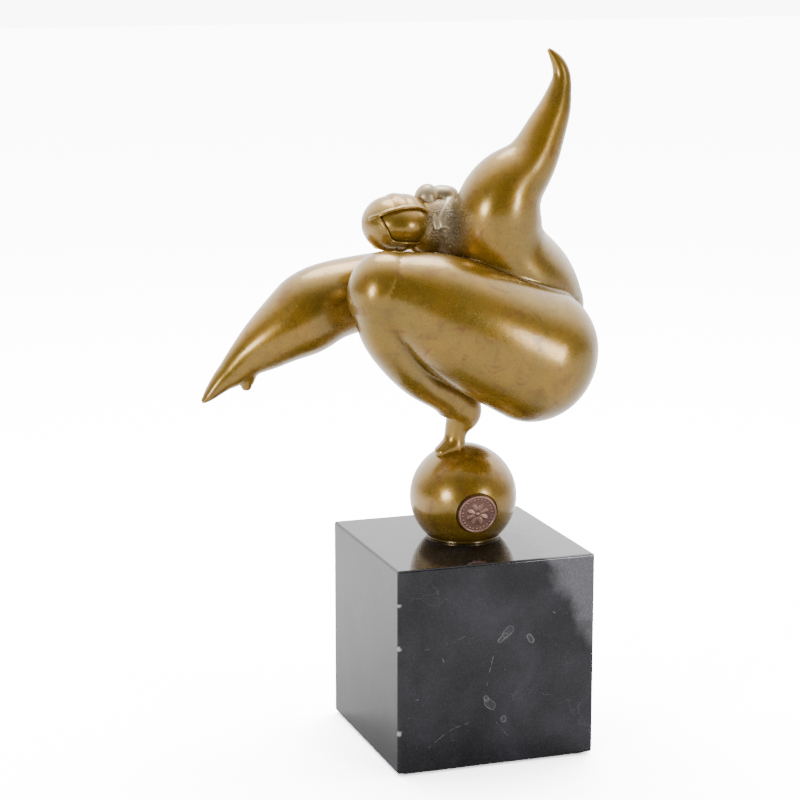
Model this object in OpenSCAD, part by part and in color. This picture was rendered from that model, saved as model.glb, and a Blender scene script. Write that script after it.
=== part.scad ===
// Bronze statuette: a round, abstract dancer who stands on one foot on a ball.
// The ball is bolted to a polished marble cube. Millimetres, +Z up,
// origin at the centre of the underside of the felt pad.

/* [Base] */
// Side of the square marble block
base_size = 81.5; // [72:0.5:110]
// Height of the marble block
base_height = 81.5; // [50:0.5:110]
// Width of the eased edges of the marble
base_edge = 1; // [0.4:0.1:3]
// Thickness of the felt pad under the marble
felt_thickness = 1; // [0.6:0.1:3]
// How far the felt stays inside the edge of the marble
felt_inset = 2; // [1:0.5:8]

/* [Ball] */
// Diameter of the ball
ball_diameter = 42.8; // [36:0.2:56]
// Height of the ball's centre over the marble, as a share of its radius
ball_seat = 0.762; // [0.7:0.002:0.83]
// How far the low lip under the ball stands out past the ball's flat
ball_lip = 0.9; // [0.4:0.1:3]
// Height of that lip
ball_lip_height = 0.6; // [0.4:0.1:2.4]
// Wall of the hollow ball
ball_wall = 4; // [3.4:0.1:6]
// Place of the ball on the marble, left to right
ball_x = 2; // [-8:0.5:8]
// Place of the ball on the marble, front to back
ball_y = 3.5; // [-8:0.5:8]

/* [Seal] */
// Diameter of the founder's seal
seal_diameter = 15.5; // [10:0.5:18]
// Thickness of the seal's disc
seal_thickness = 1.5; // [1.2:0.1:1.8]
// Gap round the seal in its flat recess
seal_gap = 0.6; // [0.3:0.1:1.2]
// Depth of the recess under the round of the ball
seal_recess = 2.3; // [2.1:0.1:2.6]
// Angle of the seal below the ball's equator
seal_tilt = 8; // [0:0.5:16]
// Turn of the seal to the left of the block's front
seal_turn = 4; // [-10:0.5:10]
// Height of the seal's rim, beads and petals
seal_relief = 0.45; // [0.3:0.05:0.7]
// Number of beads in the seal's border
bead_count = 26; // [16:1:32]
// Number of petals in the seal's rosette
petal_count = 8; // [5:1:12]

/* [Fixings] */
// Diameter of the stud
stud_diameter = 6; // [5:1:8]
// Clearance round the stud in the marble, in diameter
bore_clearance = 1; // [0.6:0.1:2]
// Clearance in the tapped hole and round the ankle pin, in diameter
thread_clearance = 0.2; // [0.1:0.05:0.3]
// Width of the nut across its flats
nut_width = 10; // [8:0.5:13]
// Height of the nut
nut_height = 5; // [4:0.5:7]
// Diameter of the flat washer
washer_diameter = 18; // [14:0.5:20]
// Thickness of the flat washer
washer_thickness = 1.6; // [1:0.1:2.5]
// Thickness of the split washer
lock_thickness = 1.6; // [1:0.1:2.5]
// Depth of the pocket for the nut under the marble
pocket_depth = 14; // [12:0.5:20]
// Room round the washer in that pocket
pocket_room = 2; // [1:0.5:4]
// Diameter of the brass plate that closes the ball
plate_diameter = 20; // [16:0.5:24]
// Thickness of that plate
plate_thickness = 5; // [4:0.5:8]
// Diameter of the pin from the ball into the foot
pin_diameter = 3; // [2:0.5:3.5]
// Length of the pin over the ball
pin_rise = 8; // [5:0.5:10]

/* [Figure] */
// Height of the figure from the top of the ball to the fingertip
figure_height = 157; // [125:1:200]
// Wall of the hollow castings
casting_wall = 3.2; // [2.4:0.1:4]
// Greatest height of the standing thigh's section
thigh_girth = 49; // [42:0.5:54]
// Greatest thickness of the standing leg's calf
calf_girth = 17; // [14:0.5:19]
// Thickness of the extended leg at its middle
extended_leg_girth = 31.5; // [27:0.5:36]
// Greatest width of the body between back and chest
torso_girth = 40; // [34:0.5:46]
// Thickness of the raised arm at the shoulder
raised_arm_girth = 34.4; // [28:0.2:38]
// Thickness of the far arm at the shoulder
far_arm_girth = 17; // [13:0.5:20]
// Width of the head with its hair
head_width = 26.8; // [22:0.2:30]
// Thickness of the hair over the head
hair_thickness = 1.6; // [1:0.1:2.2]
// Width of the bun at the back of the head
bun_width = 8.4; // [7:0.2:10]
// Bore of the opening that the cores leave at the hips
core_passage = 16; // [10:0.5:20]

/* [Hidden] */

bronze = [0.55, 0.38, 0.13];
marble = [0.14, 0.14, 0.15];
steel = [0.66, 0.67, 0.69];

$fn = 64;
sides = 24;         // points round a casting
fine = 6;           // rings from one station to the next on a short path
coarse = 3;         // the same on a long path
short_path = 4;     // stations in the longest short path
cap_rings = 3;      // rings that round off a casting's end
core_fn = 12;       // facets of the casting cores
overlap = 0.01;     // how far a cut runs past a face

base_top = felt_thickness + base_height;
ball_radius = ball_diameter / 2;
ball_centre = [ball_x, ball_y, base_top + ball_seat * ball_radius];
lip_radius = ball_radius * sqrt(1 - ball_seat * ball_seat) + ball_lip;
ball_top = ball_centre + [0, 0, ball_radius];
bore_diameter = stud_diameter + bore_clearance;
pocket_diameter = washer_diameter + pocket_room;
pocket_top = felt_thickness + pocket_depth;
washer_z = pocket_top - washer_thickness;
lock_z = washer_z - lock_thickness;
nut_z = lock_z - nut_height;
stud_tail = 1.5;    // stud below the nut
stud_z = nut_z - stud_tail;
plate_gap = 0.1;    // braze gap round the plate
rim_width = 0.7;
drawn_height = 157;     // height of the figure that the stations below are written for
scale_up = figure_height / drawn_height;

// Stations of the castings, from the top of the ball: x, y, z, half-width across, half-thickness.
thigh_path = [[-38.5, -17, 68.5, 13, 12.5], [-21, -18.5, 60, 19, 19.5], [0, -19.5, 49, 23, 24.5],
              [22, -19.5, 38.5, 24.5, 26]];
calf_path = [[-43, -15.5, 62, 11, 8], [-39.5, -15, 50.5, 10.5, 8.5], [-33.5, -13, 41.2, 10, 8.3],
             [-26.5, -10.5, 33.8, 9, 8.2], [-18.5, -7, 27, 8, 7.6], [-7.6, -4, 20.9, 8, 8.2],
             [-1.8, -2.8, 13.4, 7, 8.1], [-3.5, -2.4, 7.5, 5, 5], [-4.9, -2.4, 0.5, 4.2, 4.2]];
foot_path = [[-10.4, -2.4, -2.2, 3.6, 2.6], [-7.5, -2.4, -0.8, 4.2, 3.4], [-4.6, -2.4, -0.2, 4.2, 3.8]];
extended_path = [[20, 20.5, 46, 19, 20], [-8, 22, 57, 18, 18], [-31.3, 22.5, 59.5, 15.3, 15.3],
                 [-51, 19.5, 56.6, 15, 15.8], [-61, 18.5, 51.5, 14.5, 15.8],
                 [-69.6, 18.5, 46.2, 13, 13.2], [-78.5, 18.5, 40.3, 9.8, 10.3],
                 [-84.6, 18.5, 35.8, 7.2, 7.8], [-90, 18.5, 31, 5.6, 6], [-94, 18.5, 27.9, 4.6, 4.5],
                 [-98.9, 18.5, 23.1, 3.2, 2.6], [-101.7, 18.5, 20.4, 1.8, 1.1]];
hip_path = [[22, 22.5, 38, 24.5, 24.5], [26, 22.5, 38, 24.5, 25]];
heel_path = [[-84, 18.5, 31, 4, 4.2], [-84.2, 18.5, 27.5, 3.2, 3.2], [-84.4, 18.5, 25.4, 2.4, 2.2]];
torso_path = [[30, 1.5, 54, 21, 20], [25, 1, 64, 24, 20], [17, -1, 74, 24, 18],
              [9, -3.5, 84, 20, 15.5]];
arm_path = [[28.5, -15.5, 156.1, 0.9, 0.9], [31.8, -15.5, 152, 2.4, 2.5],
            [33.8, -15.5, 146.5, 3.4, 3.5], [33, -15.5, 140.3, 4.7, 4.8],
            [30.9, -15.5, 133.2, 6.3, 6.5], [27.2, -15.5, 125, 8, 8.1],
            [23.3, -15.5, 117, 9.8, 9.6], [18.6, -15, 110.6, 12, 11.8],
            [12.6, -14, 103.5, 15, 15], [9.2, -12, 92.5, 17, 17.2], [12, -7, 80, 17, 16]];
far_arm_path = [[10, 7, 86, 9, 12], [5, 14, 87, 8.5, 10], [-3, 19.5, 85.5, 6.5, 7],
                [-12, 22.5, 83, 4.8, 5], [-20, 24, 80.8, 3.6, 3.8], [-28, 24, 78.6, 2.6, 2.4]];
neck_path = [[-17, 1.5, 89, 8.5, 9], [-10, 1, 88, 9.5, 11], [-2, -1, 86, 12, 13]];
skull_path = [[-30.6, 1.5, 89.3, 10.8, 9.2], [-27.8, 1.5, 89.6, 11.2, 10], [-25, 1.5, 89.8, 10.8, 9.4]];
bun_path = [[-17.4, 2.4, 97.4, 2.6, 2.8], [-13.8, 3, 99.2, 4.6, 4.2], [-9, 3.2, 100.4, 4.2, 3.4],
            [-4.6, 3.2, 99.6, 3.4, 3]];

// Seams where the cast pieces are welded: a point and the way that the piece runs from it.
raised_arm_seam = [[18.6, -15, 110.6], [0.55, 0, 0.84]];
far_arm_seam = [[-1, 18.5, 86], [-0.75, 0.62, -0.2]];

// One row of stations with its girth and the size of the figure worked in.
function sized(path, girth) =
    [for (row = path) [row[0], row[1], row[2], row[3] * girth, row[4] * girth] * scale_up];

// A row of the path, with one mirrored past each end.
function row_at(path, i) =
    let (last = len(path) - 1)
    i < 0 ? 2 * path[0] - path[1] :
    i > last ? 2 * path[last] - path[last - 1] : path[i];

// Point t along the path, on a cubic through the stations.
function along(path, t) =
    let (k = min(floor(t), len(path) - 2), s = t - k,
         a = row_at(path, k - 1), b = row_at(path, k), c = row_at(path, k + 1), d = row_at(path, k + 2))
    b + s / 2 * ((c - a) + s * ((2 * a - 5 * b + 4 * c - d) + s * (3 * (b - c) + d - a)));

function unit(v) = v / norm(v);

// Ring of points across the path at t, moved along it and shrunk.
function ring(path, t, shift = 0, shrink = 1) =
    let (last = len(path) - 1,
         here = along(path, t),
         step = 0.05,
         ahead = along(path, min(t + step, last)) - along(path, max(t - step, 0)),
         forward = unit([ahead[0], ahead[1], ahead[2]]),
         across = unit([0, 1, 0] - forward[1] * forward),
         up = cross(forward, across),
         centre = [here[0], here[1], here[2]] + shift * forward)
    [for (j = [0:sides - 1])
        let (turn = 360 * j / sides)
        centre + shrink * (here[3] * cos(turn) * across + here[4] * sin(turn) * up)];

// Middle of a list of points.
function middle(points, i = 0) =
    i == len(points) ? [0, 0, 0] : points[i] / len(points) + middle(points, i + 1);

// A round-ended casting skin along a path: elliptical rings joined by triangles.
module loft(path) {
    last = len(path) - 1;
    per_station = len(path) > short_path ? coarse : fine;
    steps = last * per_station;
    start_reach = min(path[0][3], path[0][4]);
    end_reach = min(path[last][3], path[last][4]);
    start_cap = [for (i = [cap_rings:-1:1])
        let (lean = 90 * i / (cap_rings + 1)) ring(path, 0, -start_reach * sin(lean), cos(lean))];
    body = [for (i = [0:steps]) ring(path, i / per_station)];
    end_cap = [for (i = [1:cap_rings])
        let (lean = 90 * i / (cap_rings + 1)) ring(path, last, end_reach * sin(lean), cos(lean))];
    rings = concat(start_cap, body, end_cap);
    count = len(rings);
    start_pole = middle(ring(path, 0, -start_reach, 0));
    end_pole = middle(ring(path, last, end_reach, 0));
    points = concat([for (r = rings) each r], [start_pole, end_pole]);
    walls = [for (i = [0:count - 2], j = [0:sides - 1])
        let (next = (j + 1) % sides, a = i * sides, b = a + sides)
        each [[a + j, b + j, b + next], [a + j, b + next, a + next]]];
    start_faces = [for (j = [0:sides - 1]) [count * sides, j, (j + 1) % sides]];
    end_faces = [for (j = [0:sides - 1])
        [count * sides + 1, (count - 1) * sides + (j + 1) % sides, (count - 1) * sides + j]];
    polyhedron(points, concat(walls, start_faces, end_faces));
}

// A chain of hulls between balls: a casting core, a lock of hair or the hair's edge.
module chain(beads) {
    for (i = [0:len(beads) - 2])
        hull() {
            translate(beads[i][0]) sphere(beads[i][1], $fn = core_fn);
            translate(beads[i + 1][0]) sphere(beads[i + 1][1], $fn = core_fn);
        }
}

// The core inside a path of castings, one wall in from the skin, where it is wide enough to pour.
module core(path) {
    least = 2;
    chain([for (row = path)
        let (radius = min(row[3], row[4]) - casting_wall)
        if (radius > least) [[row[0], row[1], row[2]], radius]]);
}

// Everything past a seam plane.
module beyond(seam) {
    reach = figure_height;
    way = unit(seam[1]);
    translate(seam[0] * scale_up)
        rotate([0, acos(way[2]), atan2(way[1], way[0])])
            translate([-reach / 2, -reach / 2, 0]) cube(reach);
}

thigh = sized(thigh_path, thigh_girth / 49);
calf = sized(calf_path, calf_girth / 17);
foot = sized(foot_path, calf_girth / 17);
extended = sized(extended_path, extended_leg_girth / 31.5);
hip = sized(hip_path, thigh_girth / 49);
heel = sized(heel_path, extended_leg_girth / 31.5);
body = sized(torso_path, torso_girth / 40);
arm = sized(arm_path, raised_arm_girth / 34.4);
far = sized(far_arm_path, far_arm_girth / 17);
head_girth = head_width / 26.8;
neck = sized(neck_path, head_girth);
skull = sized(skull_path, (head_width - 2 * hair_thickness) / 23.6);
scalp = [for (row = skull) [row[0], row[1], row[2], row[3] + hair_thickness, row[4] + hair_thickness]];
bun = sized(bun_path, bun_width / 8.4);

// Edge of the hair round the face, from the head's centre in X and Z: from the crown's side along
// the chin, up the cheek and back over the brow to where it started.
hair_line = [[7.8, -7.4], [2.7, -6.9], [-3.2, -6.3], [-6, -4.6], [-7.5, -1.4], [-9.3, 2.2],
             [-9.2, 4.2], [-3.4, 6.5], [3.5, 7], [9.2, 5.4], [11.4, 1.8], [11.4, -2.6], [10, -6]];
past_head = 16;
head_centre = [skull_path[1][0], skull_path[1][1], skull_path[1][2]];
scalp_half = [13.4, 12.8, 11.5];
hair_edge_radius = 0.8;
edge_outset = 1.02;  // how far the hair's rolled edge stands out of its line

// Depth of the scalp's front over a point of the hair line.
function scalp_front(at) =
    -scalp_half[1] * sqrt(max(0, 1 - pow(at[0] / scalp_half[0], 2) - pow(at[1] / scalp_half[2], 2)));

// Locks of hair that run from the bun down the nape, from the top of the ball.
locks = [[[-5, 2, 100.5], [-6.8, -3.2, 98.6], [-9.4, -7.4, 94], [-9.8, -9.2, 88.6]],
         [[-8, 1.5, 101], [-9.2, -3.4, 98.3], [-11.9, -6.8, 93.6], [-12, -8.8, 88.7]],
         [[-13.4, 1.5, 98.6], [-14.2, -3.4, 96.4], [-15, -6.6, 92.6], [-14.8, -7.9, 88.6]]];
lock_radius = 1.3;

module standing_leg_skin() {
    loft(thigh);
    loft(calf);
    loft(foot);
}

module extended_leg_skin() {
    loft(extended);
    loft(hip);
    loft(heel);
}

module bun_skin() {
    loft(bun);
    for (lock = locks) chain([for (point = lock) [point * scale_up, lock_radius]]);
}

module cores() {
    core(thigh);
    core(calf);
    core(extended);
    core(hip);
    core(body);
    core(arm);
    core([far[0], far[1]]);
    core([skull[1], skull[2], neck[0], neck[1], neck[2], body[3]]);
    chain([for (row = [thigh[3], body[0], hip[0]])
        [[row[0], row[1], (thigh[3][2] + body[0][2]) / 2], core_passage / 2]]);
}

// The ball's own round, below the figure's origin.
module ball_round() {
    translate([0, 0, -ball_radius]) sphere(ball_radius, $fn = 90);
}

pin_place = [foot_path[2][0], foot_path[2][1], 0] * scale_up;
pin_depth = ball_wall + 2.5;

module ankle_pin_hole() {
    translate(pin_place - [0, 0, pin_depth])
        cylinder(d = pin_diameter + thread_clearance, h = pin_depth + pin_rise + thread_clearance);
}

module seal_frame() {
    translate(ball_centre) rotate([90 + seal_tilt, 0, -seal_turn]) children();
}

seal_seat = ball_radius - seal_recess;
seal_face = seal_seat + seal_thickness;

module marble_base() {
    color(marble) difference() {
        translate([0, 0, felt_thickness]) hull() {
            inner = base_size - 2 * base_edge;
            translate([-inner / 2, -inner / 2, 0]) cube([inner, inner, base_height]);
            translate([-base_size / 2, -inner / 2, base_edge])
                cube([base_size, inner, base_height - 2 * base_edge]);
            translate([-inner / 2, -base_size / 2, base_edge])
                cube([inner, base_size, base_height - 2 * base_edge]);
        }
        translate([ball_x, ball_y, 0]) cylinder(d = bore_diameter, h = base_top + overlap);
        translate([ball_x, ball_y, 0]) cylinder(d = pocket_diameter, h = pocket_top);
    }
}

module felt_pad() {
    side = base_size - 2 * felt_inset;
    color([0.06, 0.06, 0.07]) translate([-side / 2, -side / 2, 0]) cube([side, side, felt_thickness]);
}

module stud() {
    color(steel) translate([ball_x, ball_y, stud_z])
        cylinder(d = stud_diameter, h = base_top + plate_thickness - stud_z);
}

module stud_nut() {
    color(steel) translate([ball_x, ball_y, nut_z]) difference() {
        cylinder(d = nut_width / cos(30), h = nut_height, $fn = 6);
        translate([0, 0, -overlap])
            cylinder(d = stud_diameter + thread_clearance, h = nut_height + 2 * overlap);
    }
}

// A washer on the stud, from the given height up.
module washer(outer, thickness, height) {
    translate([ball_x, ball_y, height]) difference() {
        cylinder(d = outer, h = thickness);
        translate([0, 0, -overlap])
            cylinder(d = stud_diameter + bore_clearance / 2, h = thickness + 2 * overlap);
    }
}

module flat_washer() {
    color(steel) washer(washer_diameter, washer_thickness, washer_z);
}

module split_washer() {
    lock_diameter = stud_diameter * 1.9;
    slit = 1;
    color(steel) difference() {
        washer(lock_diameter, lock_thickness, lock_z);
        translate([ball_x, ball_y - slit / 2, lock_z - overlap])
            cube([lock_diameter, slit, lock_thickness + 2 * overlap]);
    }
}

module ball() {
    cut = 2 * ball_diameter;
    color(bronze) difference() {
        union() {
            intersection() {
                translate(ball_centre) sphere(ball_radius);
                translate([ball_x - cut / 2, ball_y - cut / 2, base_top]) cube(cut);
            }
            translate([ball_x, ball_y, base_top]) cylinder(r = lip_radius, h = ball_lip_height);
        }
        intersection() {
            translate(ball_centre) sphere(ball_radius - ball_wall);
            translate([ball_x - cut / 2, ball_y - cut / 2, base_top + plate_thickness]) cube(cut);
        }
        translate([ball_x, ball_y, base_top - overlap])
            cylinder(d = plate_diameter + 2 * plate_gap, h = plate_thickness + 2 * overlap);
        translate(ball_top) ankle_pin_hole();
        seal_frame() translate([0, 0, seal_seat]) cylinder(d = seal_diameter + 2 * seal_gap, h = ball_radius);
    }
}

module anchor_plate() {
    color([0.72, 0.58, 0.3]) translate([ball_x, ball_y, base_top]) difference() {
        cylinder(d = plate_diameter, h = plate_thickness);
        translate([0, 0, -overlap])
            cylinder(d = stud_diameter + thread_clearance, h = plate_thickness + 2 * overlap);
    }
}

module seal() {
    seal_radius = seal_diameter / 2;
    bead_radius = 0.35;
    bead_ring = seal_radius - rim_width - 2 * bead_radius;
    petal_reach = bead_ring * 0.62;
    petal_middle = petal_reach * 0.62;
    petal_half = petal_reach * 0.34;
    petal_arc = petal_reach * 0.85;
    arc_middle = petal_arc * 0.78;
    color([0.5, 0.33, 0.27]) seal_frame() {
        translate([0, 0, seal_seat]) cylinder(r = seal_radius, h = seal_thickness);
        translate([0, 0, seal_face - overlap]) difference() {
            cylinder(r = seal_radius, h = seal_relief + overlap);
            translate([0, 0, -overlap]) cylinder(r = seal_radius - rim_width, h = seal_relief + 3 * overlap);
        }
        for (i = [0:bead_count - 1])
            rotate(360 * i / bead_count) translate([bead_ring, 0, seal_face - overlap])
                cylinder(r = bead_radius, h = seal_relief * 0.8);
        for (i = [0:petal_count - 1])
            rotate(360 * i / petal_count)
                translate([petal_middle, 0, seal_face - overlap])
                    linear_extrude(seal_relief * 0.8) intersection() {
                        translate([0, arc_middle]) circle(petal_arc);
                        translate([0, -arc_middle]) circle(petal_arc);
                        circle(petal_half);
                    }
        translate([0, 0, seal_face - overlap]) cylinder(r = petal_reach * 0.2, h = seal_relief);
    }
}

module ankle_pin() {
    color(steel) translate(ball_top + pin_place - [0, 0, pin_depth])
        cylinder(d = pin_diameter, h = pin_depth + pin_rise);
}

module standing_leg() {
    color(bronze) translate(ball_top) difference() {
        standing_leg_skin();
        ball_round();
        cores();
        ankle_pin_hole();
    }
}

module extended_leg() {
    color(bronze) translate(ball_top) difference() {
        extended_leg_skin();
        standing_leg_skin();
        cores();
    }
}

module torso() {
    color(bronze) translate(ball_top) difference() {
        union() {
            loft(body);
            loft(neck);
            difference() {
                loft(arm);
                beyond(raised_arm_seam);
            }
            difference() {
                loft(far);
                beyond(far_arm_seam);
            }
        }
        standing_leg_skin();
        extended_leg_skin();
        cores();
    }
}

module raised_arm() {
    color(bronze) translate(ball_top) difference() {
        intersection() {
            loft(arm);
            beyond(raised_arm_seam);
        }
        loft(body);
        cores();
    }
}

module far_arm() {
    color(bronze) translate(ball_top) difference() {
        intersection() {
            loft(far);
            beyond(far_arm_seam);
        }
        loft(body);
        loft(neck);
        extended_leg_skin();
        cores();
    }
}

module head() {
    color(bronze) translate(ball_top) difference() {
        loft(skull);
        loft(neck);
        standing_leg_skin();
        cores();
    }
}

module hair() {
    color(bronze) translate(ball_top) difference() {
        union() {
            difference() {
                loft(scalp);
                translate(head_centre * scale_up) scale(scale_up * head_girth) rotate([90, 0, 0])
                    linear_extrude(past_head)
                        polygon(hair_line);
            }
            chain([for (at = concat(hair_line, [hair_line[0]]))
                [(head_centre + head_girth * edge_outset * [at[0], scalp_front(at), at[1]]) * scale_up,
                 hair_edge_radius]]);
        }
        loft(skull);
        loft(neck);
        loft(body);
        standing_leg_skin();
    }
}

module hair_bun() {
    color(bronze) translate(ball_top) difference() {
        bun_skin();
        loft(scalp);
        loft(neck);
        loft(body);
        loft(arm);
    }
}

marble_base();
felt_pad();
stud();
stud_nut();
flat_washer();
split_washer();
ball();
anchor_plate();
seal();
ankle_pin();
standing_leg();
extended_leg();
torso();
raised_arm();
far_arm();
head();
hair();
hair_bun();
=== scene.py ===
import math

import bpy
import numpy as np
from mathutils import Matrix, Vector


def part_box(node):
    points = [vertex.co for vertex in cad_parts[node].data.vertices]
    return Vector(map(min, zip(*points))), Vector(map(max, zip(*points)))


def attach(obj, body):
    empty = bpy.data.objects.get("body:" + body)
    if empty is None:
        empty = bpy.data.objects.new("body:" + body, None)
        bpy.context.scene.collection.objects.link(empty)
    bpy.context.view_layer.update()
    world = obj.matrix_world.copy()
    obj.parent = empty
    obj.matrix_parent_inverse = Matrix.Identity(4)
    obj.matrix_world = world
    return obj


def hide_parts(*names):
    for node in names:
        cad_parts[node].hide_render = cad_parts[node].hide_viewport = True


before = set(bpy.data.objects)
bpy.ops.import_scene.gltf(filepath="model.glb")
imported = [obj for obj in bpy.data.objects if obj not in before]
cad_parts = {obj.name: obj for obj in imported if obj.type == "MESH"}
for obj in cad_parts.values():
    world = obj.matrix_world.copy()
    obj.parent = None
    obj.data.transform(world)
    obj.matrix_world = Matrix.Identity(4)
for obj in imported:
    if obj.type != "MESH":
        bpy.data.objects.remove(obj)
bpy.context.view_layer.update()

MM = 0.001

# ---------------------------------------------------------------------------------------------
# Marble block. A sawn cube of black marble with eased, polished edges, drilled from the top
# and counterbored from below for the fixings. Fine white veins, grey clouds and a few nicks
# along the front corner. It stands on the felt and carries everything else.
# ---------------------------------------------------------------------------------------------
BLOCK_EDGE = 0.9
CORNER_RADIUS = 0.9
BORE_RADIUS = 3.5
POCKET_RADIUS = 10.0
POCKET_TOP = 15.0
NICKS = [(69.0, 0.5, 0.18), (51.5, 1.0, 0.3), (17.6, 1.3, 0.5)]     # height, half-length, depth

block_low, block_high = (np.array(c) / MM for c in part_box("marble_base"))
block_half = (block_high[0] - block_low[0]) / 2
ball_low, ball_high = (np.array(c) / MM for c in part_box("ball"))
plate_low, plate_high = (np.array(c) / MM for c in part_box("anchor_plate"))
axis_x, axis_y = (plate_low[:2] + plate_high[:2]) / 2


def square_outline(flat_steps, corner_steps):
    """Anchors on the unit square and outward directions, once round.

    A point of the outline is (half - radius) * anchor + radius * outward, so one list serves
    every rounded square. Flats have their points drawn towards the corners by a cosine.
    """
    along = -np.cos(np.linspace(0, math.pi, flat_steps + 1))
    turn = np.linspace(0, math.pi / 2, corner_steps + 1)[1:-1]
    anchors, outs = [], []
    for side in range(4):
        quarter = side * math.pi / 2
        spin = np.array([[math.cos(quarter), math.sin(quarter)], [-math.sin(quarter), math.cos(quarter)]])
        flat = np.stack([np.ones_like(along), along], 1)
        anchors += [flat @ spin, np.tile([1.0, 1.0], (len(turn), 1)) @ spin]
        outs += [np.tile([1.0, 0.0], (len(along), 1)) @ spin,
                 np.stack([np.cos(turn), np.sin(turn)], 1) @ spin]
    return np.concatenate(anchors), np.concatenate(outs)


def closed_grid(rows, columns, wrap_rows):
    """Quads over a grid whose columns wrap round, and whose rows wrap too on a ring-shaped solid."""
    last = rows if wrap_rows else rows - 1
    i, j = np.meshgrid(np.arange(last), np.arange(columns), indexing="ij")
    below, beside = (i + 1) % rows, (j + 1) % columns
    return np.stack([i * columns + j, i * columns + beside, below * columns + beside,
                     below * columns + j], -1).reshape(-1, 4)


def add_piece(name, points, faces, material, stands_for=(), sharp_angle=None):
    """A mesh object from points in millimetres and a list of face arrays, riding on the one body."""
    mesh = bpy.data.meshes.new(name)
    faces = faces if isinstance(faces, list) else [faces]
    sizes = np.concatenate([np.full(len(f), f.shape[1]) for f in faces])
    corners = np.concatenate([f.ravel() for f in faces])
    mesh.vertices.add(len(points))
    mesh.vertices.foreach_set("co", (np.asarray(points, float) * MM).ravel())
    mesh.loops.add(len(corners))
    mesh.loops.foreach_set("vertex_index", corners.astype(np.int32))
    mesh.polygons.add(len(sizes))
    mesh.polygons.foreach_set("loop_start", np.concatenate([[0], np.cumsum(sizes)[:-1]]).astype(np.int32))
    mesh.polygons.foreach_set("loop_total", sizes.astype(np.int32))
    mesh.polygons.foreach_set("use_smooth", np.ones(len(sizes), bool))
    mesh.update(calc_edges=True)
    if sharp_angle is not None:
        mesh.set_sharp_from_angle(angle=math.radians(sharp_angle))
    mesh.materials.append(material)
    piece = bpy.data.objects.new(name, mesh)
    bpy.context.scene.collection.objects.link(piece)
    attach(piece, "root")
    if stands_for:
        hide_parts(*stands_for)
    return piece


def linear(red, green, blue):
    """A colour given as it looks, 0 to 255, made linear for a shader."""
    share = np.array([red, green, blue]) / 255
    return (*np.where(share <= 0.04045, share / 12.92, ((share + 0.055) / 1.055) ** 2.4), 1.0)


class Shader:
    """A material's node tree with short calls for the nodes that its finish is mixed from."""

    def __init__(self, name):
        self.material = bpy.data.materials.new(name)
        self.material.use_nodes = True
        self.tree = self.material.node_tree
        self.surface = self.tree.nodes["Principled BSDF"]
        self.place = self.node("ShaderNodeTexCoord").outputs["Object"]

    def node(self, kind, **settings):
        made = self.tree.nodes.new(kind)
        for key, value in settings.items():
            setattr(made, key, value)
        return made

    def feed(self, socket, value):
        if isinstance(value, bpy.types.NodeSocket):
            self.tree.links.new(value, socket)
        else:
            socket.default_value = value

    def finish(self, **sockets):
        for key, value in sockets.items():
            self.feed(self.surface.inputs[key.replace("_", " ")], value)
        return self.material

    def noise(self, per_metre, detail=4.0, rough=0.55, warp=0.0, place=None):
        made = self.node("ShaderNodeTexNoise")
        self.feed(made.inputs["Vector"], self.place if place is None else place)
        for key, value in (("Scale", per_metre), ("Detail", detail), ("Roughness", rough),
                           ("Distortion", warp)):
            made.inputs[key].default_value = value
        return made.outputs["Fac"]

    def ramp(self, value, low, high, start=0.0, end=1.0):
        made = self.node("ShaderNodeMapRange", interpolation_type="SMOOTHSTEP")
        for key, number in (("Value", value), ("From Min", low), ("From Max", high), ("To Min", start),
                            ("To Max", end)):
            self.feed(made.inputs[key], number)
        return made.outputs["Result"]

    def math(self, work, first, second=0.0):
        made = self.node("ShaderNodeMath", operation=work)
        self.feed(made.inputs[0], first)
        self.feed(made.inputs[1], second)
        return made.outputs[0]

    def vector(self, work, first, second=(0, 0, 0), out="Vector"):
        made = self.node("ShaderNodeVectorMath", operation=work)
        self.feed(made.inputs[0], first)
        self.feed(made.inputs["Scale"] if work == "SCALE" else made.inputs[1], second)
        return made.outputs[out]

    def mix(self, share, first, second, blend="MIX"):
        made = self.node("ShaderNodeMix", data_type="RGBA", blend_type=blend)
        for socket, value in ((0, share), (6, first), (7, second)):
            self.feed(made.inputs[socket], value)
        return made.outputs[2]

    def bump(self, height, depth, strength=1.0, under=None):
        made = self.node("ShaderNodeBump")
        made.inputs["Strength"].default_value = strength
        made.inputs["Distance"].default_value = depth
        self.feed(made.inputs["Height"], height)
        if under is not None:
            self.feed(made.inputs["Normal"], under)
        return made.outputs["Normal"]

    def attribute(self, name):
        return self.node("ShaderNodeAttribute", attribute_name=name).outputs["Fac"]


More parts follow.
